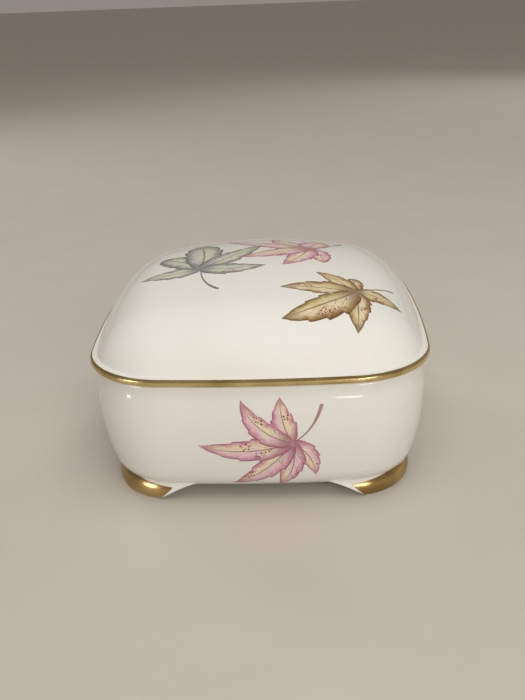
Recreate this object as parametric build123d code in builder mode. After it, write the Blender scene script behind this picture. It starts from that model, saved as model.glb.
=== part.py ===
"""Rounded-square porcelain trinket box: a bowl on four bracket feet, a crowned lift-off lid, gilded
trim and maple-leaf transfers.

Millimetres. +Z is up, the front faces -Y, and Z = 0 is the surface that the feet stand on.
"""

from math import asin, atan2, degrees, sqrt
import os

from build123d import *

os.makedirs("parts", exist_ok=True)

# ---------------------------------------------------------------- driving dimensions

# Plan: four bowed sides joined by four round corners. An inset is measured square in from the rim.
rim_half_width = 55.0
side_bow_radius = 410.0
corner_radius = 26.5

# Bowl
bowl_height = 42.2
bowl_inset = 1.3
bowl_wall = 3.2
lip_depth = 10.0
lip_radius = 45.0
land_rounding = 0.4
belly_radius = 85.0
heel_radius = 11.0
underside_height = 2.6
floor_overlap = 4.0

# Bracket feet
toe_inset = 6.1
instep_inset = 7.3
foot_bulge = 1.0
foot_depth = 6.0
web_height = 6.6
foot_length = 22.0
web_run = 18.9
toe_rounding = 0.3

# Lid
lid_height = 22.7
lid_wall = 3.0
lid_wall_inset = 0.5
crown_radius = 200.0
shoulder_radius = 24.8
shoulder_margin = 1.0
rim_thickness = 2.55
rim_rounding = 1.0
cove_radius = 0.45
flange_depth = 4.5
flange_thickness = 2.0
flange_clearance = 1.2

# Gilding and leaf transfers, which are films on the glaze
gilding_thickness = 0.12
rim_gilding_start = 0.4
rim_gilding_reach = 0.7
foot_gilding_start = 0.4
foot_gilding_end = 4.6
foot_gilding_end_height = 4.6
foot_gilding_run = 16.0
transfer_thickness = 0.08
stem_width = 0.9
sinus_depth = 0.34
lobe_shoulder = 0.58
lobe_share = 0.38
lobe_half_angle = 17.0

# ---------------------------------------------------------------- places worked out from them

seat_height = bowl_height
rim_top = seat_height + rim_thickness
rim_middle = seat_height + rim_thickness / 2
lid_top = seat_height + lid_height
crown_centre = lid_top - crown_radius
flange_inset = bowl_inset + bowl_wall + flange_clearance
flange_bottom = seat_height - flange_depth
floor_height = underside_height + bowl_wall

bow_offset = side_bow_radius - rim_half_width
corner_offset = (sqrt(2 * (side_bow_radius - corner_radius) ** 2 - bow_offset**2) - bow_offset) / 2
side_half_turn = degrees(atan2(corner_offset, corner_offset + bow_offset))

# The bowl's outside in section is three tangent arcs: the lip rolls in to the land, a slow belly runs
# down from it, and the heel turns under.
belly_top = seat_height - lip_depth
lip_turn = degrees(asin(lip_depth / lip_radius))
belly_centre_inset = bowl_inset + belly_radius
heel_centre_height = underside_height + heel_radius
centre_drop = belly_top - heel_centre_height
heel_centre_inset = belly_centre_inset - sqrt((belly_radius - heel_radius) ** 2 - centre_drop**2)
lean = degrees(asin(centre_drop / (belly_radius - heel_radius)))
floor_edge_inset = heel_centre_inset + floor_overlap

# A foot runs in from the rim's side to its toe, and its web runs on from there along the bowl.
toe_span = rim_half_width - foot_length
web_span = toe_span - web_run

# The shoulder rolls round the lid's corners, so their radius limits it. The ledge is what it leaves
# free on top of the rim at the middle of a side, which limits the rim's own fillets.
shoulder_roll = min(shoulder_radius, corner_radius - lid_wall_inset - shoulder_margin)
roll_reach = rim_half_width - lid_wall_inset - shoulder_roll
roll_height = crown_centre + sqrt((crown_radius - shoulder_roll) ** 2 - roll_reach**2)
roll_rise = max(rim_top - roll_height, 0)
ledge = lid_wall_inset + shoulder_roll - sqrt(shoulder_roll**2 - roll_rise**2)
bead_rounding = min(rim_rounding, 0.65 * ledge, 0.45 * rim_thickness)
cove_rounding = min(cove_radius, 0.3 * ledge)


def cushion(inset, height):
    """The rounded-square plan at a height, drawn inset from the rim."""
    with BuildSketch(Plane.XY.offset(height)) as plan:
        with BuildLine():
            for side in range(4):
                facing = 90 * side
                bow_centre = Vector(-bow_offset, 0).rotate(Axis.Z, facing)
                corner_centre = Vector(corner_offset, corner_offset).rotate(Axis.Z, facing)
                CenterArc(bow_centre, side_bow_radius - inset, facing - side_half_turn, 2 * side_half_turn)
                CenterArc(corner_centre, corner_radius - inset, facing + side_half_turn,
                          90 - 2 * side_half_turn)
        make_face()
    return plan.sketch


# A section is drawn where the rim's path begins: x points outwards and y points up, so x = -inset.
rim_path = cushion(0, 0).wire()
outwards = (rim_path % 0).cross(Vector(0, 0, 1))
section = Plane(rim_path @ 0, x_dir=outwards, z_dir=outwards.cross(Vector(0, 0, 1)))


def belly_and_heel(growth):
    """The bowl's wall in section below the lip, moved out by growth."""
    CenterArc((-belly_centre_inset, belly_top), belly_radius + growth, -lean, lean)
    CenterArc((-heel_centre_inset, heel_centre_height), heel_radius + growth, -90, 90 - lean)


def lip(growth):
    """The rolled-in top of the bowl's outside in section, moved out by growth; it ends at the land."""
    return CenterArc((-bowl_inset - lip_radius, belly_top), lip_radius + growth, 0, lip_turn)


def foot_face(growth):
    """A foot's bulging outer face in section, moved out by growth."""
    bulge_inset = (toe_inset + instep_inset) / 2 - foot_bulge
    ThreePointArc((growth - toe_inset, 0), (growth - bulge_inset, web_height / 2),
                  (growth - instep_inset, web_height))


def arch(toe, crest):
    """The opening between two feet, seen from the front: cyma ends that flatten into the bowl."""
    with BuildLine() as outline:
        end = TangentArc((crest, web_height), (toe, 0), tangent=(1, 0))
        mirror(end, about=Plane.YZ)
        Line((-crest, web_height), (crest, web_height))
        Line((-toe, 0), (toe, 0))
    return outline.line


# ---------------------------------------------------------------- base

with BuildPart() as base_body:
    with BuildSketch(section):
        with BuildLine():
            land_edge = lip(0) @ 1
            belly_and_heel(0)
            Polyline((-heel_centre_inset, underside_height), (-floor_edge_inset, underside_height),
                     (-floor_edge_inset, floor_height), (-heel_centre_inset, floor_height))
            belly_and_heel(-bowl_wall)
            Polyline((-bowl_inset - bowl_wall, belly_top), (-bowl_inset - bowl_wall, seat_height), land_edge)
        make_face()
    sweep(path=rim_path)
    extrude(cushion(floor_edge_inset, underside_height), amount=bowl_wall)
    fillet(base_body.edges().group_by(Axis.Z)[-1], land_rounding)
base_body.part.label = "base_body"
export_step(base_body.part, "parts/base_body.step")

# The bowl's outside as a solid block, which the feet are fitted to.
with BuildPart() as bowl_block:
    with BuildSketch(section):
        with BuildLine():
            belly_and_heel(0)
            Polyline((-heel_centre_inset, underside_height), (-floor_edge_inset, underside_height),
                     (-floor_edge_inset, belly_top), (-bowl_inset, belly_top))
        make_face()
    sweep(path=rim_path)
    extrude(cushion(floor_edge_inset, underside_height), amount=belly_top - underside_height)

with BuildPart() as foot_ring:
    with BuildSketch(section):
        with BuildLine():
            foot_face(0)
            Polyline((-instep_inset, web_height), (-toe_inset - foot_depth, web_height),
                     (-toe_inset - foot_depth, 0), (-toe_inset, 0))
        make_face()
    sweep(path=rim_path)
    fillet(foot_ring.edges().group_by(Axis.Z)[0], toe_rounding)
    add(bowl_block.part, mode=Mode.SUBTRACT)
    for view in (Plane.XZ, Plane.YZ):
        with BuildSketch(view):
            add(arch(toe_span, web_span))
            make_face()
        extrude(amount=rim_half_width, both=True, mode=Mode.SUBTRACT)

# Gold on the feet stops short of the web's ends, where the porcelain stays white.
with BuildPart() as foot_gilding_ring:
    with BuildSketch(section):
        with BuildLine():
            foot_face(0)
            foot_face(gilding_thickness)
            Line((-toe_inset, 0), (gilding_thickness - toe_inset, 0))
            Line((-instep_inset, web_height), (gilding_thickness - instep_inset, web_height))
        make_face()
    sweep(path=rim_path)
    add(bowl_block.part, mode=Mode.SUBTRACT)
    extrude(cushion(0, 0), amount=foot_gilding_start, mode=Mode.SUBTRACT)
    for view in (Plane.XZ, Plane.YZ):
        with BuildSketch(view):
            with BuildLine():
                Polyline((0, 0), (toe_span, 0), (toe_span - foot_gilding_end, foot_gilding_end_height),
                         (toe_span - foot_gilding_end + foot_gilding_run, web_height), (0, web_height))
                mirror(about=Plane.YZ)
            make_face()
        extrude(amount=rim_half_width, both=True, mode=Mode.SUBTRACT)

for end, y_side in (("front", -1), ("back", 1)):
    for hand, x_side in (("left", -1), ("right", 1)):
        corner = (x_side * rim_half_width / 2, y_side * rim_half_width / 2, web_height / 2)
        with BuildPart() as foot:
            add(foot_ring.part)
            with Locations(corner):
                Box(rim_half_width, rim_half_width, 2 * web_height, mode=Mode.INTERSECT)
        foot.part.label = f"{end}_{hand}_foot"
        export_step(foot.part, f"parts/{foot.part.label}.step")
        with BuildPart() as foot_gilding:
            add(foot_gilding_ring.part)
            with Locations(corner):
                Box(rim_half_width, rim_half_width, 2 * web_height, mode=Mode.INTERSECT)
        foot_gilding.part.label = f"{end}_{hand}_foot_gilding"
        export_step(foot_gilding.part, f"parts/{foot_gilding.part.label}.step")

# ---------------------------------------------------------------- lid


def crowned_form(inset, drop):
    """A tall cushion under the crown's sphere, with its shoulder rolled over; drop lowers the crown."""
    with BuildPart() as form:
        extrude(cushion(inset, 0), amount=lid_top)
        with Locations((0, 0, crown_centre)):
            Sphere(crown_radius - drop, rotation=(90, 0, 0), mode=Mode.INTERSECT)
        fillet(form.faces().sort_by(Axis.Z)[-1].edges(), shoulder_roll - drop)
    return form.part


with BuildPart() as lid_hollow:
    add(crowned_form(lid_wall_inset + lid_wall, lid_wall))
    extrude(cushion(flange_inset + flange_thickness, 0), amount=lid_top, mode=Mode.INTERSECT)

with BuildPart() as lid:
    add(crowned_form(lid_wall_inset, 0))
    split(bisect_by=Plane.XY.offset(rim_middle), keep=Keep.TOP)
    extrude(cushion(0, seat_height), amount=rim_thickness)
    rim_outline = lid.edges().filter_by_position(Axis.Z, seat_height, seat_height)
    rim_outline += lid.faces().filter_by(Plane.XY).sort_by(Axis.Z)[-1].outer_wire().edges()
    fillet(rim_outline, bead_rounding)
    cove_line = lid.faces().filter_by(Plane.XY).sort_by(Axis.Z)[-1].inner_wires()[0].edges()
    fillet(cove_line, cove_rounding)
    extrude(cushion(flange_inset, flange_bottom), amount=flange_depth)
    add(lid_hollow.part, mode=Mode.SUBTRACT)
lid.part.label = "lid"
export_step(lid.part, "parts/lid.step")

with BuildPart() as lid_rim_gilding:
    with BuildSketch(section):
        film_height = rim_thickness + 2 * gilding_thickness
        with Locations((gilding_thickness, rim_middle)):
            RectangleRounded(film_height, film_height, bead_rounding + gilding_thickness,
                             align=(Align.MAX, Align.CENTER))
        with Locations((gilding_thickness, seat_height + rim_gilding_start)):
            Rectangle(rim_gilding_reach + gilding_thickness, film_height, align=(Align.MAX, Align.MIN),
                      mode=Mode.INTERSECT)
    sweep(path=rim_path)
    add(lid.part, mode=Mode.SUBTRACT)
lid_rim_gilding.part.label = "lid_rim_gilding"
export_step(lid_rim_gilding.part, "parts/lid_rim_gilding.step")

# ---------------------------------------------------------------- leaf transfers


def maple_leaf(centre, lobes, stem):
    """A palmate leaf: pointed lobes, given as (bearing, length) in turn, with shallow sinuses between."""
    outline = []
    for number, (bearing, length) in enumerate(lobes):
        gap_before = (bearing - lobes[number - 1][0]) % 360
        next_bearing, next_length = lobes[(number + 1) % len(lobes)]
        gap_after = (next_bearing - bearing) % 360
        lobe = [(lobe_shoulder * length, -min(lobe_share * gap_before, lobe_half_angle)),
                (length, 0),
                (lobe_shoulder * length, min(lobe_share * gap_after, lobe_half_angle)),
                (sinus_depth * min(length, next_length), gap_after / 2)]
        outline += [centre + Vector(reach, 0).rotate(Axis.Z, bearing + turn) for reach, turn in lobe]
    with BuildSketch() as leaf:
        with BuildLine():
            Polyline(*outline, close=True)
        make_face()
        with BuildLine():
            stalk = Spline(centre, *[centre + Vector(*point) for point in stem])
        trace(stalk, line_width=stem_width)
    return leaf.sketch


with BuildPart() as lid_skin:
    add(crowned_form(lid_wall_inset - transfer_thickness, -transfer_thickness))
    split(bisect_by=Plane.XY.offset(rim_top + cove_rounding), keep=Keep.TOP)
    add(crowned_form(lid_wall_inset, 0), mode=Mode.SUBTRACT)

grey_leaf = maple_leaf(Vector(-19.5, -7.0), [
    (-176, 20), (0, 21.5), (53, 32), (95, 32), (131, 23)], [(2.4, -11), (7.3, -18)])
pink_leaf = maple_leaf(Vector(17.0, 14.0), [
    (-154, 26.5), (-114, 23.5), (-70, 19), (68, 14), (126, 22), (153, 33)], [(6, 6), (12.5, 14)])
gold_leaf = maple_leaf(Vector(30.4, -26.2), [
    (-145, 28), (-91, 18.5), (-9, 14.5), (81, 10), (131, 17.5), (178, 23.5)], [(6, 4), (13, 8.5)])

for name, leaf, above in (("grey", grey_leaf, None), ("pink", pink_leaf, grey_leaf), ("gold", gold_leaf, None)):
    with BuildPart() as lid_leaf:
        extrude(leaf, amount=lid_top)
        add(lid_skin.part, mode=Mode.INTERSECT)
        if above:
            extrude(above, amount=lid_top, mode=Mode.SUBTRACT)
    lid_leaf.part.label = f"lid_leaf_{name}"
    export_step(lid_leaf.part, f"parts/{lid_leaf.part.label}.step")

wall_leaf = maple_leaf(Vector(9.8, 22.7), [
    (-179, 28.5), (-139, 24), (-104, 18), (-61, 14.5), (102, 15.9), (135, 21.2)], [(3.5, 3), (9, 12.7)])

with BuildPart() as front_leaf:
    with BuildSketch(section):
        with BuildLine():
            belly_and_heel(0)
            belly_and_heel(transfer_thickness)
            Line(lip(0) @ 1, lip(transfer_thickness) @ 1)
            Line((-heel_centre_inset, underside_height),
                 (-heel_centre_inset, underside_height - transfer_thickness))
        make_face()
    sweep(path=rim_path)
    extrude(Plane.XZ * wall_leaf, amount=rim_half_width + 1, mode=Mode.INTERSECT)
front_leaf.part.label = "front_leaf"
export_step(front_leaf.part, "parts/front_leaf.step")
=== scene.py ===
"""The finished look of a rounded-square porcelain trinket box: glazed bowl, feet and crowned lid,
burnished gold trim and maple-leaf transfers.

Metres throughout; MM turns a size in millimetres into metres. +Z is up and the front faces -Y.
"""

import math

import bmesh
import bpy
from mathutils import Matrix, Vector
from mathutils.bvhtree import BVHTree


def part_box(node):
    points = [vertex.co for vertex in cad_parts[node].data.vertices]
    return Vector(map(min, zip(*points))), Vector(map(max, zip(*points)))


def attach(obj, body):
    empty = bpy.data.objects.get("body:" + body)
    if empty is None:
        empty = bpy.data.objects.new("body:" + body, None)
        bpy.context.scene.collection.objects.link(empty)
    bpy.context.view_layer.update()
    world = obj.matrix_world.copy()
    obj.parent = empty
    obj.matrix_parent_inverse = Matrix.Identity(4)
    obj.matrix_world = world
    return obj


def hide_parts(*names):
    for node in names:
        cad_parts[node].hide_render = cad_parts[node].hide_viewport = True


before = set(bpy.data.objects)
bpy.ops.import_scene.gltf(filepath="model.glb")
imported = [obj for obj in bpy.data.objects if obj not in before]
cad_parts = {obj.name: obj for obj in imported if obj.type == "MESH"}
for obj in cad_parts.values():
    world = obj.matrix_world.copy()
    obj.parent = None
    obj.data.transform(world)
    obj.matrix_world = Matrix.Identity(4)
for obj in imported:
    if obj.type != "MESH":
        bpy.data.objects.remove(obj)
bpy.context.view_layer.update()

# ---------------------------------------------------------------- sizes

MM = 0.001

lid_low, lid_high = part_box("lid")
bowl_low, bowl_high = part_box("base_body")

RIM_HALF_WIDTH = lid_high.x
SEAT = bowl_high.z
UNDERSIDE = bowl_low.z
LID_TOP = lid_high.z
FLANGE_BOTTOM = lid_low.z
BOWL_INSET = RIM_HALF_WIDTH - bowl_high.x

SIDE_BOW_RADIUS = 410 * MM
CORNER_RADIUS = 26.5 * MM

BOWL_WALL = 3.2 * MM
LIP_DEPTH = 10 * MM
LIP_RADIUS = 45 * MM
LAND_ROUNDING = 0.4 * MM
BELLY_RADIUS = 85 * MM
HEEL_RADIUS = 11 * MM
FLOOR_REACH = 4 * MM

RIM_THICKNESS = 2.55 * MM
RIM_ROUNDING = 1.0 * MM
COVE_RADIUS = 0.45 * MM
LID_WALL = 3 * MM
LID_WALL_INSET = 0.5 * MM
CROWN_RADIUS = 200 * MM
SHOULDER_RADIUS = 24.8 * MM
FLANGE_CLEARANCE = 1.2 * MM
FLANGE_THICKNESS = 2 * MM
FLANGE_ROUNDING = 0.6 * MM

GILDING_FILM = 0.04 * MM
GILDING_START = 0.4 * MM
GILDING_REACH = 0.7 * MM

RIM_TOP = SEAT + RIM_THICKNESS
CROWN_CENTRE = LID_TOP - CROWN_RADIUS
BELLY_TOP = SEAT - LIP_DEPTH
FLOOR = UNDERSIDE + BOWL_WALL
FLANGE_INSET = BOWL_INSET + BOWL_WALL + FLANGE_CLEARANCE
MERGE_DISTANCE = 0.001 * MM

# ---------------------------------------------------------------- the rounded-square outline

bow_offset = SIDE_BOW_RADIUS - RIM_HALF_WIDTH
corner_offset = (math.sqrt(2 * (SIDE_BOW_RADIUS - CORNER_RADIUS) ** 2 - bow_offset**2) - bow_offset) / 2
side_half_turn = math.atan2(corner_offset, corner_offset + bow_offset)
SIDE_STEPS = 22
CORNER_STEPS = 30


class Station:
    """A place on the rim: where its arc is centred, the arc's radius and the way the rim faces."""

    def __init__(self, centre, radius, facing):
        self.centre = centre
        self.radius = radius
        self.out = Vector((math.cos(facing), math.sin(facing), 0))

    def at(self, inset, height):
        place = self.centre + self.out * (self.radius - inset)
        return Vector((place.x, place.y, height))


def rim_stations():
    """Stations anticlockwise round the rim: a shallow side arc and a corner arc, four times."""
    stations = []
    for side in range(4):
        turn = Matrix.Rotation(side * math.pi / 2, 3, "Z")
        bow_centre = turn @ Vector((-bow_offset, 0, 0))
        corner_centre = turn @ Vector((corner_offset, corner_offset, 0))
        facing = side * math.pi / 2
        for step in range(SIDE_STEPS):
            part = step / SIDE_STEPS
            stations.append(Station(bow_centre, SIDE_BOW_RADIUS, facing + side_half_turn * (2 * part - 1)))
        corner_turn = math.pi / 2 - 2 * side_half_turn
        for step in range(CORNER_STEPS):
            part = step / CORNER_STEPS
            turn = facing + side_half_turn + corner_turn * part
            stations.append(Station(corner_centre, CORNER_RADIUS, turn))
    return stations


STATIONS = rim_stations()


def heading_at(bearing):
    """The flat unit vector at a bearing in degrees, and the one square to it on its left."""
    way = Vector((math.cos(math.radians(bearing)), math.sin(math.radians(bearing))))
    return way, Vector((-way.y, way.x))


def arc(centre_inset, centre_height, radius, start, end, steps):
    """A section arc as (inset, height) points; 0 degrees points outwards and 90 degrees points up."""
    angles = [math.radians(start + (end - start) * step / steps) for step in range(steps + 1)]
    return [(centre_inset - radius * math.cos(a), centre_height + radius * math.sin(a)) for a in angles]


# ---------------------------------------------------------------- mesh helpers


def mesh_piece(name, points, faces, materials, smooth=True):
    mesh = bpy.data.meshes.new(name)
    mesh.from_pydata(points, [], faces)
    for material in materials:
        mesh.materials.append(material)
    mesh.polygons.foreach_set("use_smooth", [smooth] * len(mesh.polygons))
    mesh.update()
    piece = bpy.data.objects.new(name, mesh)
    bpy.context.scene.collection.objects.link(piece)
    return piece


def curve_piece(name, points, cyclic):
    """A poly curve through points, as a path or a section for a sweep."""
    curve = bpy.data.curves.new(name, "CURVE")
    curve.dimensions = "3D"
    spline = curve.splines.new("POLY")
    spline.points.add(len(points) - 1)
    for knot, point in zip(spline.points, points):
        knot.co = (*point, 1)
    spline.use_cyclic_u = cyclic
    piece = bpy.data.objects.new(name, curve)
    bpy.context.scene.collection.objects.link(piece)
    return piece


# ---------------------------------------------------------------- node helpers


def add_node(tree, kind, inputs=None, **settings):
    """A node with its settings, and its inputs given as values or as sockets to link from."""
    made = tree.nodes.new(kind)
    for name, value in settings.items():
        setattr(made, name, value)
    for key, value in (inputs or {}).items():
        if isinstance(value, bpy.types.NodeSocket):
            tree.links.new(value, made.inputs[key])
        else:
            made.inputs[key].default_value = value
    return made


def geometry_tree(name, inputs):
    """A geometry node tree with named inputs, given as name: socket type, and one Geometry output."""
    tree = bpy.data.node_groups.new(name, "GeometryNodeTree")
    tree.interface.new_socket("Geometry", in_out="INPUT", socket_type="NodeSocketGeometry")
    for label, kind in inputs.items():
        tree.interface.new_socket(label, in_out="INPUT", socket_type=kind)
    tree.interface.new_socket("Geometry", in_out="OUTPUT", socket_type="NodeSocketGeometry")
    source = tree.nodes.new("NodeGroupInput")
    return tree, source


def end_tree(tree, geometry, material):
    """Ends a tree with its instances realized, shaded smooth and one material set."""
    real = add_node(tree, "GeometryNodeRealizeInstances", {"Geometry": geometry})
    smooth = add_node(tree, "GeometryNodeSetShadeSmooth", {"Geometry": real.outputs[0]})
    finish = add_node(tree, "GeometryNodeSetMaterial", {"Geometry": smooth.outputs[0], "Material": material})
    result = tree.nodes.new("NodeGroupOutput")
    tree.links.new(finish.outputs[0], result.inputs[0])


def grown(name, source, tree, values):
    """The plain mesh that a geometry node tree makes from a source object, as a new object."""
    modifier = source.modifiers.new(tree.name, "NODES")
    modifier.node_group = tree
    for item in tree.interface.items_tree:
        if item.in_out == "INPUT" and item.name in values:
            modifier[item.identifier] = values[item.name]
    source.update_tag()
    depsgraph = bpy.context.evaluated_depsgraph_get()
    mesh = bpy.data.meshes.new_from_object(source.evaluated_get(depsgraph), depsgraph=depsgraph)
    mesh.name = name
    source.modifiers.remove(modifier)
    piece = bpy.data.objects.new(name, mesh)
    bpy.context.scene.collection.objects.link(piece)
    return piece


def sweep_tree():
    """Sweeps a section object along the path that it is given, keeping the section upright."""
    tree, source = geometry_tree("sweep_round_rim", {
        "Section": "NodeSocketObject", "Finish": "NodeSocketMaterial"})
    section = add_node(tree, "GeometryNodeObjectInfo", {"Object": source.outputs["Section"]})
    upright = add_node(tree, "GeometryNodeSetCurveNormal", {"Curve": source.outputs["Geometry"]}, mode="Z_UP")
    swept = add_node(tree, "GeometryNodeCurveToMesh",
                     {"Curve": upright.outputs[0], "Profile Curve": section.outputs["Geometry"]})
    end_tree(tree, swept.outputs[0], source.outputs["Finish"])
    return tree


def freckle_tree():
    """Scatters small flat dots on a leaf where its freckle attribute is set."""
    tree, source = geometry_tree("freckles", {
        "Dot Radius": "NodeSocketFloat", "Depth": "NodeSocketFloat", "Sides": "NodeSocketInt",
        "Gap": "NodeSocketFloat", "Seed": "NodeSocketInt", "Finish": "NodeSocketMaterial"})
    place = add_node(tree, "GeometryNodeInputNamedAttribute", {"Name": "freckle"}, data_type="FLOAT")
    dots = add_node(tree, "GeometryNodeDistributePointsOnFaces", {
        "Mesh": source.outputs["Geometry"], "Distance Min": source.outputs["Gap"], "Density Max": 6e6,
        "Density Factor": place.outputs[0], "Seed": source.outputs["Seed"]}, distribute_method="POISSON")
    dot = add_node(tree, "GeometryNodeMeshCylinder", {
        "Vertices": source.outputs["Sides"], "Radius": source.outputs["Dot Radius"],
        "Depth": source.outputs["Depth"]})
    size = add_node(tree, "FunctionNodeRandomValue", {2: 0.55, 3: 1.25}, data_type="FLOAT")
    tree.links.new(source.outputs["Seed"], size.inputs[8])
    spread = add_node(tree, "GeometryNodeInstanceOnPoints", {
        "Points": dots.outputs["Points"], "Instance": dot.outputs["Mesh"],
        "Rotation": dots.outputs["Rotation"], "Scale": size.outputs[1]})
    end_tree(tree, spread.outputs[0], source.outputs["Finish"])
    return tree


# ---------------------------------------------------------------- bowl, swept round the rim's path


def bowl_glaze_section():
    """The bowl's section from the middle of the underside out, up the wall, over the land and down in."""
    lip_turn = math.asin(LIP_DEPTH / LIP_RADIUS)
    belly_centre = BOWL_INSET + BELLY_RADIUS
    heel_height = UNDERSIDE + HEEL_RADIUS
    drop = BELLY_TOP - heel_height
    lean = math.degrees(math.asin(drop / (BELLY_RADIUS - HEEL_RADIUS)))
    heel_centre = belly_centre - math.sqrt((BELLY_RADIUS - HEEL_RADIUS) ** 2 - drop**2)
    land_outer = BOWL_INSET + LIP_RADIUS * (1 - math.cos(lip_turn))
    land_inner = BOWL_INSET + BOWL_WALL
    section = [(heel_centre + FLOOR_REACH, UNDERSIDE)]
    section += arc(heel_centre, heel_height, HEEL_RADIUS, -90, -lean, 26)
    section += arc(belly_centre, BELLY_TOP, BELLY_RADIUS, -lean, 0, 12)[1:]
    section += arc(BOWL_INSET + LIP_RADIUS, BELLY_TOP, LIP_RADIUS, 0, math.degrees(lip_turn) - 0.4, 10)[1:]
    section += arc(land_outer + LAND_ROUNDING, SEAT - LAND_ROUNDING, LAND_ROUNDING, 20, 90, 4)
    section += arc(land_inner - LAND_ROUNDING, SEAT - LAND_ROUNDING, LAND_ROUNDING, 90, 180, 6)
    section += arc(belly_centre, BELLY_TOP, BELLY_RADIUS - BOWL_WALL, 0, -lean, 12)
    section += arc(heel_centre, heel_height, HEEL_RADIUS - BOWL_WALL, -lean, -90, 22)[1:]
    section += [(heel_centre + FLOOR_REACH, FLOOR)]
    return section


def close_up(piece):
    """Fills the open ends of a swept shell, merges doubles and turns every face outwards."""
    work = bmesh.new()
    work.from_mesh(piece.data)
    bmesh.ops.remove_doubles(work, verts=work.verts, dist=MERGE_DISTANCE)
    bmesh.ops.holes_fill(work, edges=[edge for edge in work.edges if edge.is_boundary])
    bmesh.ops.recalc_face_normals(work, faces=work.faces)
    work.to_mesh(piece.data)
    work.free()
    piece.data.polygons.foreach_set("use_smooth", [True] * len(piece.data.polygons))


def rim_path():
    return curve_piece("rim_path", [s.at(0, 0) for s in STATIONS], True)


def swept(name, section, finish, tree, cyclic=False):
    """A section given as (inset, height) points, swept round the rim."""
    path = rim_path()
    profile = curve_piece(name + "_section", [(-inset, -height, 0) for inset, height in section], cyclic)
    piece = grown(name, path, tree, {"Section": profile, "Finish": finish})
    bpy.data.objects.remove(profile)
    bpy.data.objects.remove(path)
    close_up(piece)
    return piece


# ---------------------------------------------------------------- lid


class Shoulder:
    """At one station, the arc that a ball rolls between the lid's side and the crown's sphere."""

    def __init__(self, station, inwards):
        self.side = station.out
        self.radius = SHOULDER_RADIUS - inwards
        self.crown_radius = CROWN_RADIUS - inwards
        plan = station.at(LID_WALL_INSET + SHOULDER_RADIUS, 0)
        height = math.sqrt((CROWN_RADIUS - SHOULDER_RADIUS) ** 2 - plan.length_squared)
        self.centre = Vector((plan.x, plan.y, CROWN_CENTRE + height))
        crown_way = (self.centre - Vector((0, 0, CROWN_CENTRE))).normalized()
        self.turn = math.acos(crown_way.dot(self.side))
        self.up = (crown_way - crown_way.dot(self.side) * self.side).normalized()

    def point(self, angle):
        return self.centre + self.radius * (math.cos(angle) * self.side + math.sin(angle) * self.up)

    def slope(self, angle):
        return math.cos(angle) * self.up - math.sin(angle) * self.side

    def angle_at_height(self, height):
        return math.asin((height - self.centre.z) / (self.radius * self.up.z))

    def angle_at_inset(self, inset):
        return math.acos((LID_WALL_INSET + SHOULDER_RADIUS - inset) / self.radius)


SHOULDER_STEPS = 26
CROWN_STEPS = 16
COVE_STEPS = 6


def crown_rows(edge, radius):
    """Points from the shoulder's top in to just short of the crown's middle, on the crown's sphere."""
    rows = []
    for step in range(1, CROWN_STEPS):
        share = 1 - step / CROWN_STEPS
        plan = Vector((edge.x, edge.y)) * share
        rows.append(Vector((plan.x, plan.y, CROWN_CENTRE + math.sqrt(radius**2 - plan.length_squared))))
    return rows


def lid_profile(station):
    """The lid's section at a station, from the outer crown out over the rim, in and up to the inner crown."""
    outer = Shoulder(station, 0)
    inner = Shoulder(station, LID_WALL)
    start = outer.angle_at_height(RIM_TOP + 0.8 * COVE_RADIUS)
    foot = outer.point(start)
    slope = outer.slope(start)
    elbow = foot - slope * ((foot.z - RIM_TOP) / slope.z)
    ledge = elbow + outer.side * (foot - elbow).length
    shoulder = [outer.point(start + (outer.turn - start) * step / SHOULDER_STEPS)
                for step in range(SHOULDER_STEPS + 1)]
    cove = []
    for step in range(1, COVE_STEPS + 1):
        part = step / COVE_STEPS
        cove.append((1 - part) ** 2 * foot + 2 * part * (1 - part) * elbow + part**2 * ledge)
    rim = arc(RIM_ROUNDING, RIM_TOP - RIM_ROUNDING, RIM_ROUNDING, 90, 0, 8)
    rim += arc(RIM_ROUNDING, SEAT + RIM_ROUNDING, RIM_ROUNDING, 0, -90, 8)
    rim += [(FLANGE_INSET, SEAT)]
    inner_face = FLANGE_INSET + FLANGE_THICKNESS
    rim += arc(FLANGE_INSET + FLANGE_ROUNDING, FLANGE_BOTTOM + FLANGE_ROUNDING, FLANGE_ROUNDING, 0, -90, 5)
    rim += arc(inner_face - FLANGE_ROUNDING, FLANGE_BOTTOM + FLANGE_ROUNDING, FLANGE_ROUNDING, -90, -180, 5)
    begin = inner.angle_at_inset(inner_face)
    ceiling = [inner.point(begin + (inner.turn - begin) * step / SHOULDER_STEPS)
               for step in range(SHOULDER_STEPS + 1)]
    outside = crown_rows(shoulder[-1], CROWN_RADIUS)[::-1] + shoulder[::-1] + cove
    inside = ceiling + crown_rows(ceiling[-1], CROWN_RADIUS - LID_WALL)
    return outside + [station.at(*place) for place in rim] + inside


def lid_mesh(name, materials):
    profiles = [lid_profile(station) for station in STATIONS]
    rows = len(profiles[0])
    columns = len(profiles)
    points = [point for profile in profiles for point in profile]
    faces = []
    for column in range(columns):
        beside = (column + 1) % columns
        for row in range(rows - 1):
            faces.append((column * rows + row, column * rows + row + 1,
                          beside * rows + row + 1, beside * rows + row))
    crown_top = len(points)
    points.append(Vector((0, 0, LID_TOP)))
    points.append(Vector((0, 0, LID_TOP - LID_WALL)))
    for column in range(columns):
        beside = (column + 1) % columns
        faces.append((crown_top, column * rows, beside * rows))
        faces.append((crown_top + 1, beside * rows + rows - 1, column * rows + rows - 1))
    piece = mesh_piece(name, points, faces, materials)
    work = bmesh.new()
    work.from_mesh(piece.data)
    bmesh.ops.recalc_face_normals(work, faces=work.faces)
    work.to_mesh(piece.data)
    work.free()
    return piece


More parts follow.
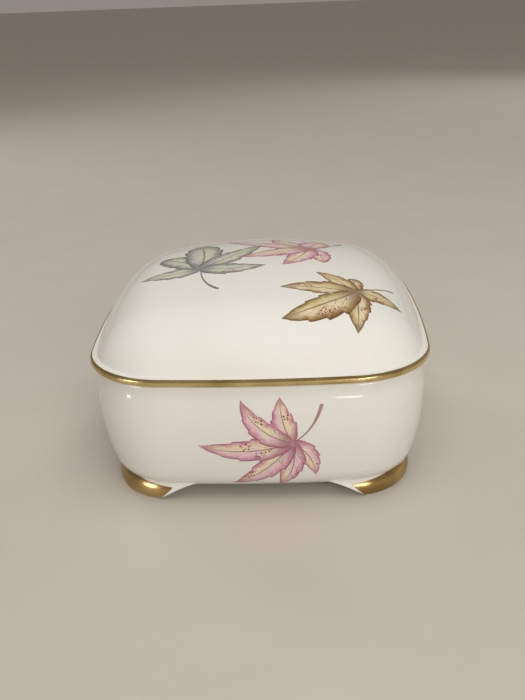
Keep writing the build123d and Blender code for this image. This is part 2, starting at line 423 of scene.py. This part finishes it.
def rim_gilding_section():
    """A closed loop round the gold film on the lid's rim, half sunk in the glaze under it."""
    start = math.degrees(math.asin((GILDING_START - RIM_ROUNDING) / RIM_ROUNDING))
    stop = math.degrees(math.acos((RIM_ROUNDING - GILDING_REACH) / RIM_ROUNDING))
    loop = []
    for growth, way in ((GILDING_FILM, 1), (-GILDING_FILM, -1)):
        side = arc(RIM_ROUNDING, SEAT + RIM_ROUNDING, RIM_ROUNDING + growth, start, 0, 8)
        side += arc(RIM_ROUNDING, RIM_TOP - RIM_ROUNDING, RIM_ROUNDING + growth, 0, stop, 12)
        loop += side[::way]
    return loop


# ---------------------------------------------------------------- materials

GLAZE_IOR = 1.5
RELIEF_DEPTH = 0.03 * MM
STROKE_DEPTH = 0.006 * MM


def material_tree(name, roughness, metallic=0.0):
    material = bpy.data.materials.new(name)
    material.use_nodes = True
    tree = material.node_tree
    shader = next(node for node in tree.nodes if node.type == "BSDF_PRINCIPLED")
    shader.inputs["Roughness"].default_value = roughness
    shader.inputs["Metallic"].default_value = metallic
    shader.inputs["IOR"].default_value = GLAZE_IOR
    return material, tree, shader


def object_place(tree):
    return add_node(tree, "ShaderNodeTexCoord").outputs["Object"]


def noise(tree, place, scale, detail=2.0, roughness=0.5):
    made = add_node(tree, "ShaderNodeTexNoise",
                    {"Vector": place, "Scale": scale, "Detail": detail, "Roughness": roughness})
    return made.outputs["Fac"]


def math_node(tree, operation, *values):
    made = add_node(tree, "ShaderNodeMath", operation=operation)
    for number, value in enumerate(values):
        if isinstance(value, bpy.types.NodeSocket):
            tree.links.new(value, made.inputs[number])
        else:
            made.inputs[number].default_value = value
    return made.outputs[0]


def times(tree, value, factor):
    return math_node(tree, "MULTIPLY", value, factor)


def ease(tree, value, low, high):
    """0 below low, 1 above high and a smooth step between; low may be the larger."""
    made = add_node(tree, "ShaderNodeMapRange", {"Value": value, "From Min": low, "From Max": high},
                    interpolation_type="SMOOTHSTEP")
    return made.outputs["Result"]


def paint(tree, under, over, amount):
    """The colour under with the colour over laid on it by amount."""
    made = add_node(tree, "ShaderNodeMix", data_type="RGBA")
    for key, value in ((0, amount), (6, under), (7, over)):
        if isinstance(value, bpy.types.NodeSocket):
            tree.links.new(value, made.inputs[key])
        else:
            made.inputs[key].default_value = value if key == 0 else (*value, 1)
    return made.outputs[2]


def bump(tree, shader, height, depth):
    made = add_node(tree, "ShaderNodeBump", {"Height": height, "Distance": depth, "Strength": 1.0})
    tree.links.new(made.outputs["Normal"], shader.inputs["Normal"])


def glaze_relief(tree, place):
    """The glaze's slow waves with its fine orange peel on them, as one height."""
    waves = noise(tree, place, 55, 1.0)
    peel = noise(tree, place, 620, 2.0)
    return math_node(tree, "ADD", waves, times(tree, peel, 0.12))


def porcelain_glaze():
    material, tree, shader = material_tree("porcelain_glaze", 0.06)
    place = object_place(tree)
    cloud = ease(tree, noise(tree, place, 26, 3.0), 0.35, 0.65)
    colour = paint(tree, (0.775, 0.765, 0.72), (0.80, 0.79, 0.75), cloud)
    cells = add_node(tree, "ShaderNodeTexVoronoi", {"Vector": place, "Scale": 44})
    tint = add_node(tree, "ShaderNodeSeparateColor", {"Color": cells.outputs["Color"]})
    chosen = math_node(tree, "GREATER_THAN", tint.outputs[0], 0.72)
    pinhole = times(tree, chosen, ease(tree, cells.outputs["Distance"], 0.012, 0.006))
    colour = paint(tree, colour, (0.20, 0.16, 0.12), times(tree, pinhole, 0.75))
    tree.links.new(colour, shader.inputs["Base Color"])
    bump(tree, shader, glaze_relief(tree, place), RELIEF_DEPTH)
    return material


def bisque():
    material, tree, shader = material_tree("bisque", 0.8)
    place = object_place(tree)
    grain = noise(tree, place, 2600, 3.0)
    colour = paint(tree, (0.78, 0.74, 0.68), (0.70, 0.655, 0.59), grain)
    stain = ease(tree, noise(tree, place, 180, 2.0), 0.55, 0.75)
    colour = paint(tree, colour, (0.60, 0.52, 0.43), times(tree, stain, 0.5))
    tree.links.new(colour, shader.inputs["Base Color"])
    bump(tree, shader, grain, RELIEF_DEPTH)
    return material


def burnished_gold(name, dark, light, worn_through):
    material, tree, shader = material_tree(name, 0.2, metallic=1.0)
    place = object_place(tree)
    stretched = add_node(tree, "ShaderNodeMapping", {"Vector": place, "Scale": (1, 1, 5)}).outputs[0]
    strokes = noise(tree, stretched, 420, 4.0, 0.6)
    broad = noise(tree, place, 70, 2.0)
    colour = paint(tree, dark, light, ease(tree, broad, 0.35, 0.65))
    worn = times(tree, ease(tree, strokes, 0.55, 0.8), 0.5)
    colour = paint(tree, colour, worn_through, worn)
    tree.links.new(colour, shader.inputs["Base Color"])
    rough = add_node(tree, "ShaderNodeMapRange", {"Value": strokes, "To Min": 0.12, "To Max": 0.36})
    tree.links.new(rough.outputs["Result"], shader.inputs["Roughness"])
    bump(tree, shader, strokes, STROKE_DEPTH)
    return material


def leaf_print(name, edge, body, heart, wash, vein, palm):
    """A printed leaf lobe. Its UV map runs u from palm to tip and v across, with the midrib at a half."""
    material, tree, shader = material_tree(name, 0.07)
    place = object_place(tree)
    uv = add_node(tree, "ShaderNodeUVMap", uv_map="lobe").outputs[0]
    split = add_node(tree, "ShaderNodeSeparateXYZ", {"Vector": uv})
    along = split.outputs[0]
    across = times(tree, math_node(tree, "SUBTRACT", split.outputs[1], 0.5), 2.0)
    out = math_node(tree, "ABSOLUTE", across)
    blot = math_node(tree, "SUBTRACT", noise(tree, place, 420, 3.0, 0.6), 0.5)
    cloud = math_node(tree, "SUBTRACT", noise(tree, place, 150, 2.0), 0.5)
    streaks = add_node(tree, "ShaderNodeMapping", {"Vector": uv, "Scale": (4, 30, 1)}).outputs[0]
    fibre = noise(tree, streaks, 1.0, 3.0)
    spread = math_node(tree, "ADD", out, times(tree, blot, 0.9))
    side = math_node(tree, "ADD", across, times(tree, cloud, 3.0))
    light = paint(tree, heart, wash, ease(tree, side, -0.35, 0.55))
    colour = paint(tree, light, body, ease(tree, spread, 0.34, 0.86))
    colour = paint(tree, colour, edge, times(tree, ease(tree, spread, 0.74, 1.1), 0.75))
    colour = paint(tree, colour, body, times(tree, ease(tree, fibre, 0.45, 0.75), 0.32))
    tip = math_node(tree, "ADD", along, times(tree, blot, 0.2))
    colour = paint(tree, colour, edge, times(tree, ease(tree, tip, 0.68, 1.0), 0.8))
    colour = paint(tree, colour, palm, times(tree, ease(tree, tip, 0.32, 0.03), 0.75))
    rise = times(tree, out, 2.4)
    slant = math_node(tree, "SUBTRACT", times(tree, along, 7.0), rise)
    right = math_node(tree, "GREATER_THAN", across, 0.0)
    shifted = math_node(tree, "ADD", slant, times(tree, right, 0.45))
    ripple = math_node(tree, "ADD", shifted, times(tree, cloud, 0.9))
    from_rib = math_node(tree, "ABSOLUTE", math_node(tree, "SUBTRACT", math_node(tree, "FRACT", ripple), 0.5))
    side_rib = times(tree, ease(tree, from_rib, 0.06, 0.015), ease(tree, out, 0.95, 0.6))
    colour = paint(tree, colour, vein, times(tree, side_rib, 0.45))
    midrib = times(tree, ease(tree, out, 0.075, 0.025), ease(tree, along, 1.0, 0.7))
    colour = paint(tree, colour, vein, times(tree, midrib, 0.75))
    line = ease(tree, math_node(tree, "ADD", out, times(tree, fibre, 0.12)), 0.90, 1.0)
    colour = paint(tree, colour, vein, times(tree, line, 0.55))
    tree.links.new(colour, shader.inputs["Base Color"])
    bump(tree, shader, glaze_relief(tree, place), RELIEF_DEPTH)
    return material


def flat_enamel(name, colour, other):
    """A small printed mark, its colour broken by the print's grain."""
    material, tree, shader = material_tree(name, 0.07)
    place = object_place(tree)
    tree.links.new(paint(tree, colour, other, noise(tree, place, 500, 3.0)), shader.inputs["Base Color"])
    bump(tree, shader, glaze_relief(tree, place), RELIEF_DEPTH)
    return material


glaze = porcelain_glaze()
unglazed = bisque()
band_gold = burnished_gold("band_gold", (0.50, 0.36, 0.14), (0.74, 0.57, 0.27), (0.33, 0.20, 0.06))
# The feet's gold is a darker copy of the band's gold. Its dark colours are a painted reflection of dark
# surroundings mirrored in the feet, not a different gold.
foot_gold_painted_reflection = burnished_gold("foot_gold_painted_reflection", (0.34, 0.215, 0.075), (0.60, 0.43, 0.18), (0.22, 0.12, 0.035))

# ---------------------------------------------------------------- porcelain and gilding

PLANE_SLACK = 0.02 * MM


def bare_faces(piece, is_bare):
    """Puts the second material on the faces whose middle is_bare picks."""
    for polygon in piece.data.polygons:
        polygon.material_index = 1 if is_bare(polygon.center) else 0


sweep = sweep_tree()

bowl = swept("bowl", bowl_glaze_section(), glaze, sweep)
bowl.data.materials.append(unglazed)
bare_faces(bowl, lambda middle: middle.z > SEAT - PLANE_SLACK)
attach(bowl, "base")
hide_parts("base_body")

cover = lid_mesh("cover", [glaze, unglazed])
bare_faces(cover, lambda middle: abs(middle.z - SEAT) < PLANE_SLACK)
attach(cover, "lid")
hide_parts("lid")

rim_gold = swept("rim_gold", rim_gilding_section(), band_gold, sweep, cyclic=True)
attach(rim_gold, "lid")
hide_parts("lid_rim_gilding")

for name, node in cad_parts.items():
    if name.endswith("_foot"):
        node.data.materials.clear()
        node.data.materials.append(glaze)
    elif name.endswith("_foot_gilding"):
        node.data.materials.clear()
        node.data.materials.append(foot_gold_painted_reflection)

# ---------------------------------------------------------------- leaves

LOBE_STEPS = 70
LOBE_HALF_STEPS = 7
LOBE_START = 0.015
LOBE_REACH = 0.98
LOBE_WIDEST = 0.42
BASE_SWELL = 0.46
TIP_TAPER = 0.98
TIP_BLUNTING = 0.62
LEFT_TEETH = 5.3
RIGHT_TEETH = 4.6
TEETH_START = 0.22
TEETH_END = 0.93
TEETH_ROOT = 0.93
TEETH_DEPTH = 0.2
HUB_ALONG = 0.14
HUB_ACROSS = 0.8
DROP_SWELL = 1.9
DISC_STEPS = 15
DROP_STEPS = 12
STEM_STEPS = 40
NARROW_SHARES = (-1, -0.5, 0, 0.5, 1)

FILM = 0.035 * MM
LAYER = 0.006 * MM
CURL_RIM = (2.6, 0.7)
CURL_HEART = (1.95, 0.4)
PRINT, OUTLINE, HEART = range(3)

FRECKLE_REACH = (0.11, 0.36)
FRECKLE_RADIUS = 0.29 * MM
FRECKLE_GAP = 0.72 * MM
FRECKLE_DEPTH = 0.05 * MM
FRECKLE_SIDES = 9
FIRST_SEED = 7


class Ground:
    """A glazed surface that leaves are laid on, seen square on from the way they are drawn."""

    def __init__(self, piece, view):
        mesh = piece.data
        self.tree = BVHTree.FromPolygons([v.co for v in mesh.vertices], [p.vertices for p in mesh.polygons])
        self.view = view

    def lay(self, x, y, lift):
        """The point at x, y of the drawing, lifted square off the glaze."""
        if self.view == "top":
            start, way = Vector((x, y, 1)), Vector((0, 0, -1))
        else:
            start, way = Vector((x, -1, y)), Vector((0, 1, 0))
        place, normal, _, _ = self.tree.ray_cast(start, way)
        return place + normal * lift


lid_top = Ground(cover, "top")
bowl_front = Ground(bowl, "front")


def lobe_half_width(along, teeth, blunt):
    """A lobe's half width along it, as a share of its widest, with forward-pointing teeth past the middle."""
    rise = (along / LOBE_WIDEST) ** BASE_SWELL
    fall = ((1 - along) / (1 - LOBE_WIDEST)) ** (TIP_TAPER - TIP_BLUNTING * blunt)
    saw = (along * teeth) % 1 if TEETH_START < along < TEETH_END else 0
    return rise * fall * (TEETH_ROOT + TEETH_DEPTH * saw)


def lobe_points(palm, bearing, length, bend, left, right, blunt=0):
    """Points across a lobe, row by row from palm to tip, in the drawing's plane."""
    way, side = heading_at(bearing)
    elbow = way * length / 2 + side * bend * length * 2
    rows = []
    for step in range(LOBE_STEPS + 1):
        along = LOBE_START + LOBE_REACH * step / LOBE_STEPS
        middle = 2 * along * (1 - along) * elbow + along**2 * way * length
        heading = (1 - 2 * along) * elbow * 2 + 2 * along * way * length
        across = Vector((-heading.y, heading.x)).normalized()
        row = []
        for number in range(-LOBE_HALF_STEPS, LOBE_HALF_STEPS + 1):
            share = number / LOBE_HALF_STEPS
            reach, teeth = (left, LEFT_TEETH) if share > 0 else (right, RIGHT_TEETH)
            half = reach * length * lobe_half_width(along, teeth, blunt)
            row.append((palm + middle + across * share * half, along, share))
        rows.append(row)
    return rows


def disc_points(centre, radius):
    """A disc that fills the gaps between the lobes at the palm."""
    rows = []
    for step in range(DISC_STEPS):
        rise = radius * math.sin(math.radians(-84 + 12 * step))
        half = math.sqrt(radius**2 - rise**2)
        rows.append([(centre + Vector((share * half, rise)), HUB_ALONG, HUB_ACROSS * share)
                     for share in NARROW_SHARES])
    return rows


def drop_points(start, bearing, length, half):
    """A teardrop that is pointed at start and round at its far end."""
    way, side = heading_at(bearing)
    rows = []
    for step in range(DROP_STEPS + 1):
        along = 0.02 + 0.96 * step / DROP_STEPS
        reach = half * DROP_SWELL * along * math.sqrt(1 - along)
        rows.append([(start + way * length * (along - 0.5) + side * share * reach, along, share)
                     for share in NARROW_SHARES])
    return rows


def stem_points(palm, start, bend, end, thin, thick):
    """A stem that swells along a curve from start by way of bend to end, all measured from the palm."""
    rows = []
    start, bend, end = Vector(start), Vector(bend), Vector(end)
    for step in range(STEM_STEPS + 1):
        along = step / STEM_STEPS
        middle = (1 - along) ** 2 * start + 2 * along * (1 - along) * bend + along**2 * end
        heading = (1 - along) * (bend - start) + along * (end - bend)
        across = Vector((-heading.y, heading.x)).normalized()
        half = (thin + (thick - thin) * along**1.5) / 2
        rows.append([(palm + middle + across * share * half, along, share)
                     for share in NARROW_SHARES])
    return rows


def film_faces(rows, columns, first):
    """Faces of a closed film whose upper grid starts at first and whose lower grid follows it."""
    under = first + rows * columns
    faces = []
    for row in range(rows - 1):
        for column in range(columns - 1):
            a = first + row * columns + column
            faces.append((a, a + columns, a + columns + 1, a + 1))
            b = under + row * columns + column
            faces.append((b, b + 1, b + columns + 1, b + columns))
    edge = [row * columns for row in range(rows)]
    edge += [(rows - 1) * columns + column for column in range(1, columns)]
    edge += [row * columns + columns - 1 for row in range(rows - 2, -1, -1)]
    edge += [column for column in range(columns - 2, 0, -1)]
    for here, there in zip(edge, edge[1:] + edge[:1]):
        faces.append((first + here, under + here, under + there, first + there))
    return faces


def leaf_piece(name, ground, palm, hub, lobes, stem, curls, freckles, materials):
    """A leaf of a hub, lobes, small curls and a curved stem, laid on the glaze as thin closed films.

    Its freckle attribute is 1 on top of a lobe round each freckle place, given as lobe, along and across.
    """
    points, faces, uvs, slots, marks = [], [], [], [], []

    def add_film(rows, layer, slot, spots=()):
        first = len(points)
        for lift in (FILM + layer * LAYER, -FILM):
            for row in rows:
                for place, along, share in row:
                    points.append(ground.lay(place.x * MM, place.y * MM, lift))
                    uvs.append((along, (share + 1) / 2))
                    near = [math.hypot((along - a) / FRECKLE_REACH[0], (share - b) / FRECKLE_REACH[1])
                            for a, b in spots]
                    marks.append(1.0 if lift > 0 and min(near, default=9) < 1 else 0.0)
        made = film_faces(len(rows), len(rows[0]), first)
        faces.extend(made)
        slots.extend([slot] * len(made))

    add_film(disc_points(palm + Vector(hub[:2]), hub[2]), 0, PRINT)
    for layer, lobe in enumerate(lobes, 1):
        spots = [(a, b) for number, a, b in freckles if number == layer - 1]
        add_film(lobe_points(palm, *lobe), layer, PRINT, spots)
    for x, y, bearing in curls:
        add_film(drop_points(palm + Vector((x, y)), bearing, *CURL_RIM), len(lobes) + 1, OUTLINE)
        add_film(drop_points(palm + Vector((x, y)), bearing, *CURL_HEART), len(lobes) + 2, HEART)
    add_film(stem_points(palm, *stem), len(lobes) + 2, OUTLINE)
    piece = mesh_piece(name, points, faces, materials)
    layer = piece.data.uv_layers.new(name="lobe")
    for loop in piece.data.loops:
        layer.data[loop.index].uv = uvs[loop.vertex_index]
    piece.data.polygons.foreach_set("material_index", slots)
    piece.data.attributes.new("freckle", "FLOAT", "POINT").data.foreach_set("value", marks)
    return piece


ROSE = dict(edge=(0.42, 0.12, 0.20), body=(0.62, 0.28, 0.37), heart=(0.80, 0.72, 0.48),
            wash=(0.78, 0.57, 0.62), vein=(0.25, 0.08, 0.11), palm=(0.32, 0.10, 0.15))
SLATE = dict(edge=(0.10, 0.105, 0.115), body=(0.28, 0.29, 0.26), heart=(0.66, 0.65, 0.49),
             wash=(0.60, 0.61, 0.56), vein=(0.10, 0.11, 0.10), palm=(0.15, 0.17, 0.21))
BRONZE = dict(edge=(0.14, 0.075, 0.02), body=(0.34, 0.21, 0.07), heart=(0.66, 0.55, 0.31),
              wash=(0.76, 0.65, 0.46), vein=(0.09, 0.045, 0.015), palm=(0.17, 0.08, 0.03))

stem_rose = flat_enamel("stem_rose", (0.30, 0.16, 0.15), (0.45, 0.32, 0.28))
stem_slate = flat_enamel("stem_slate", (0.12, 0.12, 0.12), (0.26, 0.25, 0.24))
stem_bronze = flat_enamel("stem_bronze", (0.20, 0.13, 0.07), (0.38, 0.30, 0.20))
pale_curl = flat_enamel("pale_curl", (0.74, 0.68, 0.64), (0.66, 0.56, 0.52))
freckle_red = flat_enamel("freckle_red", (0.22, 0.03, 0.05), (0.34, 0.08, 0.09))

# A lobe is bearing in degrees, length in millimetres, bend, left and right half widths as shares of its
# length and how blunt its tip is. A curl is x, y and bearing. A freckle place is lobe, along and across.
LEAVES = {
    "front_leaf": dict(
        body="base", slot="pink_transfer", ground=bowl_front, palm=(9.8, 22.7), hub=(-2.6, -0.6, 3.7),
        lobes=[(-61, 14.7, 0.13, 0.22, 0.22), (-104, 18.0, 0.13, 0.18, 0.26), (-139, 24.6, 0.08, 0.16, 0.15),
               (-179, 28.6, 0.09, 0.13, 0.145), (102, 16.0, 0.06, 0.23, 0.22), (135, 21.3, 0.14, 0.17, 0.16)],
        stem=((1.2, 0.8), (6.7, 4.2), (9.1, 13.0), 0.35, 1.1), palette=ROSE, stem_finish=stem_rose,
        curls=[(-4.4, 4.0, 135), (-9.2, -4.8, -160), (-3.3, -6.2, -120), (2.2, -4.5, -80)],
        freckles=[(0, 0.62, 0.35), (1, 0.6, 0.4), (2, 0.72, -0.45), (3, 0.52, -0.4), (3, 0.3, 0.4),
                  (4, 0.6, -0.5), (5, 0.62, -0.45)]),
    "lid_leaf_pink": dict(
        body="lid", slot="pink_transfer", ground=lid_top, palm=(17.0, 14.0), hub=(-2.4, -0.4, 3.6),
        lobes=[(126, 22.0, 0.1, 0.17, 0.2), (68, 14.0, 0.05, 0.36, 0.36, 0.9), (153, 33.0, 0.07, 0.11, 0.11),
               (-74, 18.0, 0.06, 0.22, 0.24, 0.35), (-114, 23.0, 0.08, 0.2, 0.2),
               (-154, 26.5, 0.05, 0.16, 0.17)],
        stem=((1.0, 0.8), (7.5, 4.5), (12.5, 14.0), 0.35, 1.1), palette=ROSE, stem_finish=stem_rose,
        curls=[(-3.0, -5.0, -100), (-7.0, -1.0, -175)],
        freckles=[(3, 0.6, 0.3), (4, 0.6, -0.4), (5, 0.5, 0.4)]),
    "lid_leaf_grey": dict(
        body="lid", slot="grey_transfer", ground=lid_top, palm=(-19.5, -7.0), hub=(0.0, 2.5, 3.6),
        lobes=[(-176, 20.2, 0.06, 0.2, 0.2), (131, 23.0, -0.05, 0.22, 0.22, 0.9),
               (95, 32.5, -0.04, 0.2, 0.19, 0.95), (53, 33.0, -0.04, 0.15, 0.14), (0, 21.8, -0.1, 0.22, 0.2)],
        stem=((0.3, -1.2), (1.0, -13.6), (7.3, -18.3), 0.35, 1.0), palette=SLATE, stem_finish=stem_slate,
        curls=[(4.0, 8.0, 75)], freckles=[(4, 0.45, -0.45)]),
    "lid_leaf_gold": dict(
        body="lid", slot="gold_brown_transfer", ground=lid_top, palm=(30.4, -26.2), hub=(-1.8, -0.9, 3.0),
        lobes=[(81, 10.0, 0.1, 0.32, 0.32, 0.8), (131, 17.8, -0.06, 0.17, 0.2),
               (178, 23.4, -0.03, 0.16, 0.2),
               (-9, 14.7, 0.04, 0.24, 0.26), (-91, 18.6, 0.03, 0.21, 0.24), (-145, 28.0, 0.06, 0.23, 0.15)],
        stem=((1.2, 0.8), (4.6, 3.1), (13.0, 8.6), 0.3, 0.7), palette=BRONZE, stem_finish=stem_bronze,
        curls=[(-2.3, -4.6, -115), (-7.5, -2.0, 165)],
        freckles=[(2, 0.62, -0.55), (3, 0.5, -0.55), (4, 0.55, 0.5), (5, 0.5, 0.62)]),
}

dots = freckle_tree()
for number, (name, leaf) in enumerate(LEAVES.items()):
    finish = leaf_print(name + "_print", **leaf["palette"])
    piece = leaf_piece(name + "_print", leaf["ground"], Vector(leaf["palm"]), leaf["hub"], leaf["lobes"],
                       leaf["stem"], leaf["curls"], leaf["freckles"],
                       [finish, leaf["stem_finish"], pale_curl])
    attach(piece, leaf["body"])
    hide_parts(name)
    freckles = grown(name + "_freckles", piece, dots, {
        "Dot Radius": FRECKLE_RADIUS, "Depth": FRECKLE_DEPTH, "Sides": FRECKLE_SIDES,
        "Gap": FRECKLE_GAP, "Seed": FIRST_SEED + number, "Finish": freckle_red})
    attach(freckles, leaf["body"])

# ---------------------------------------------------------------- camera, floor and light

FULL_FRAME = 36


def camera_at(place, pitch, yaw, roll, lens):
    """A camera that looks down by pitch, turned right by yaw and rolled by roll, all in degrees."""
    camera = bpy.data.objects.new("camera", bpy.data.cameras.new("camera"))
    camera.data.lens = lens
    camera.data.sensor_width = FULL_FRAME
    camera.location = place
    turned = Matrix.Rotation(math.radians(-yaw), 3, "Z")
    tilted = Matrix.Rotation(math.radians(90 - pitch), 3, "X")
    rolled = Matrix.Rotation(math.radians(roll), 3, "Z")
    camera.rotation_euler = (turned @ tilted @ rolled).to_euler()
    bpy.context.scene.collection.objects.link(camera)
    bpy.context.scene.camera = camera


def area_light(name, place, aim, size, power, colour=(1, 1, 1), mirrored=True, glint=False):
    """A rectangular soft light that faces aim. Mirrored says if it reflects, and a glint only reflects."""
    data = bpy.data.lights.new(name, "AREA")
    data.shape = "RECTANGLE"
    data.size, data.size_y = size
    data.energy = power
    data.color = colour
    light = bpy.data.objects.new(name, data)
    light.location = place
    light.rotation_euler = (Vector(aim) - Vector(place)).to_track_quat("-Z", "Y").to_euler()
    light.visible_glossy = mirrored
    light.visible_camera = not glint
    light.visible_diffuse = not glint
    bpy.context.scene.collection.objects.link(light)


def floor_material():
    material, tree, shader = material_tree("pale_floor", 0.55)
    place = object_place(tree)
    tree.links.new(paint(tree, (0.54, 0.50, 0.44), (0.58, 0.545, 0.485), noise(tree, place, 30, 4.0)),
                   shader.inputs["Base Color"])
    return material


FLOOR_HALF = 12.0
floor_corners = [(x * FLOOR_HALF, y * FLOOR_HALF, 0) for x, y in ((-1, -1), (1, -1), (1, 1), (-1, 1))]
floor = mesh_piece("floor", floor_corners, [(0, 1, 2, 3)], [floor_material()], smooth=False)

camera_at((10.6 * MM, -277.0 * MM, 148.3 * MM), pitch=22.95, yaw=-2.21, roll=-2.18, lens=43.48)

area_light("overhead", (0.1, -0.25, 0.95), (0, 0, 0.05), (0.9, 0.7), 4.9, (1.0, 0.985, 0.96), False)
area_light("fill_front", (0.25, -0.95, 0.42), (0, 0, 0.03), (0.9, 0.5), 4.9, (1.0, 0.98, 0.95), False)
area_light("window_left", (-0.55, 0.6, 0.5), (0, 0, 0.04), (0.3, 0.45), 1.3, (1.0, 0.98, 0.95), False)
area_light("window_back", (0.5, 1.1, 0.55), (0, 0, 0.04), (0.4, 0.4), 1.6, (1.0, 0.98, 0.95), False)
area_light("glint_left", (-0.125, -0.092, 0.0135), (-0.0385, -0.05, 0.038), (0.011, 0.004), 0.002, glint=True)
area_light("glint_right", (0.052, -0.151, 0.0145), (0.03, -0.052, 0.0375), (0.026, 0.003), 0.002, glint=True)
area_light("sheen_left", (-0.83, -0.66, 0.07), (0, 0, 0.04), (0.3, 0.14), 1.6, glint=True)
area_light("sheen_right", (0.46, -0.97, 0.07), (0, 0, 0.04), (0.34, 0.14), 1.8, glint=True)

world = bpy.data.worlds.new("room")
world.use_nodes = True
background = world.node_tree.nodes["Background"]
background.inputs["Color"].default_value = (0.66, 0.60, 0.53, 1)
background.inputs["Strength"].default_value = 0.42
bpy.context.scene.world = world

bpy.context.scene.view_settings.view_transform = "Standard"
